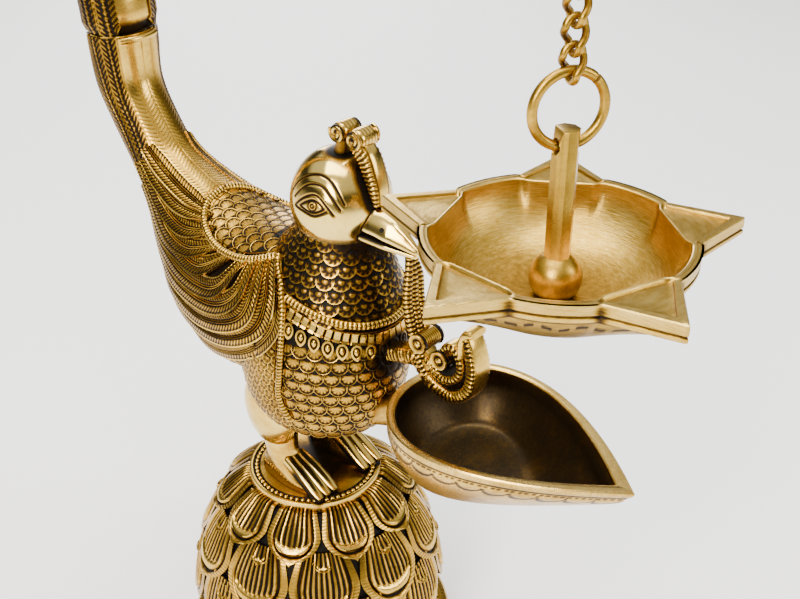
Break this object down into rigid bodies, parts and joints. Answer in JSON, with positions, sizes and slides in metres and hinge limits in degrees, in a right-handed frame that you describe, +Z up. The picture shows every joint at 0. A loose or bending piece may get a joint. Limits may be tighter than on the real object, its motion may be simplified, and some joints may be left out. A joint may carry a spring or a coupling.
{
  "type": "oil lamp",
  "caption": "Standing brass oil lamp: a peacock on a lotus base holds a leaf-shaped oil cup, and a star-shaped dish hangs from its tail by a chain and ring.",
  "frame": {"origin": "middle of the lamp's footprint box, on the surface it stands on", "axes": "+Z up; the bird faces -Y, with the cup and the hanging dish in front of it; the bird's middle plane is X = 0"},
  "size_m": [0.101, 0.2426, 0.3593],
  "materials": {
    "cast_brass": "cast and engraved antique brass, bright on the high places and dark in the recesses",
    "cup_brass": "cast brass, polished rim and a dark brown inside",
    "dish_brass": "satin brass with brush marks",
    "deep_brass": "deep golden brown brass wire and bar"
  },
  "bodies": {
    "stand": {"lotus_base": "cast_brass", "base_washer": "deep_brass", "base_nut": "deep_brass", "peacock": "cast_brass", "tail_arch": "cast_brass", "tail_pin": "cast_brass", "oil_cup": "cup_brass", "cup_pin": "cast_brass"},
    "link_1": {"chain_link_1": "deep_brass"},
    "link_2": {"chain_link_2": "deep_brass"},
    "link_3": {"chain_link_3": "deep_brass"},
    "link_4": {"chain_link_4": "deep_brass"},
    "link_5": {"chain_link_5": "deep_brass"},
    "link_6": {"chain_link_6": "deep_brass"},
    "link_7": {"chain_link_7": "deep_brass"},
    "link_8": {"chain_link_8": "deep_brass"},
    "link_9": {"chain_link_9": "deep_brass"},
    "ring": {"split_ring": "deep_brass"},
    "dish": {"star_dish": "dish_brass", "dish_stem": "deep_brass", "dish_nut": "deep_brass"}
  },
  "joints": [
    {"name": "link_1_swing", "type": "hinge", "parent": "stand", "child": "link_1", "pos_m": [0, -0.07349, 0.308], "axis": [0.9996, -0.0291, 0], "range_deg": [-20, 6]},
    {"name": "link_2_swing", "type": "hinge", "parent": "link_1", "child": "link_2", "pos_m": [0, -0.07349, 0.2989], "axis": [0.0291, 0.9996, 0], "range_deg": [-20, 20]},
    {"name": "link_3_swing", "type": "hinge", "parent": "link_2", "child": "link_3", "pos_m": [0, -0.07349, 0.2944], "axis": [-0.9894, 0.1449, 0], "range_deg": [-7, 20]},
    {"name": "link_4_swing", "type": "hinge", "parent": "link_3", "child": "link_4", "pos_m": [0, -0.07349, 0.2853], "axis": [-0.1449, -0.9894, 0], "range_deg": [-20, 20]},
    {"name": "link_5_swing", "type": "hinge", "parent": "link_4", "child": "link_5", "pos_m": [0, -0.07349, 0.2808], "axis": [0.9659, -0.2588, 0], "range_deg": [-20, 8]},
    {"name": "link_6_swing", "type": "hinge", "parent": "link_5", "child": "link_6", "pos_m": [0, -0.07349, 0.2717], "axis": [0.2588, 0.9659, 0], "range_deg": [-20, 20]},
    {"name": "link_7_swing", "type": "hinge", "parent": "link_6", "child": "link_7", "pos_m": [0, -0.07349, 0.2672], "axis": [-0.9293, 0.3692, 0], "range_deg": [-9, 20]},
    {"name": "link_8_swing", "type": "hinge", "parent": "link_7", "child": "link_8", "pos_m": [0, -0.07349, 0.2581], "axis": [-0.3692, -0.9293, 0], "range_deg": [-20, 20]},
    {"name": "link_9_swing", "type": "hinge", "parent": "link_8", "child": "link_9", "pos_m": [0, -0.07349, 0.2536], "axis": [0.8802, -0.4746, 0], "range_deg": [-20, 12]},
    {"name": "ring_swing", "type": "hinge", "parent": "link_9", "child": "ring", "pos_m": [0, -0.07349, 0.2445], "axis": [0.4746, 0.8802, 0], "range_deg": [-14, 14]},
    {"name": "dish_swing", "type": "hinge", "parent": "ring", "child": "dish", "pos_m": [0, -0.07349, 0.228], "axis": [-0.866, 0.5, 0], "range_deg": [-30, 30]}
  ]
}
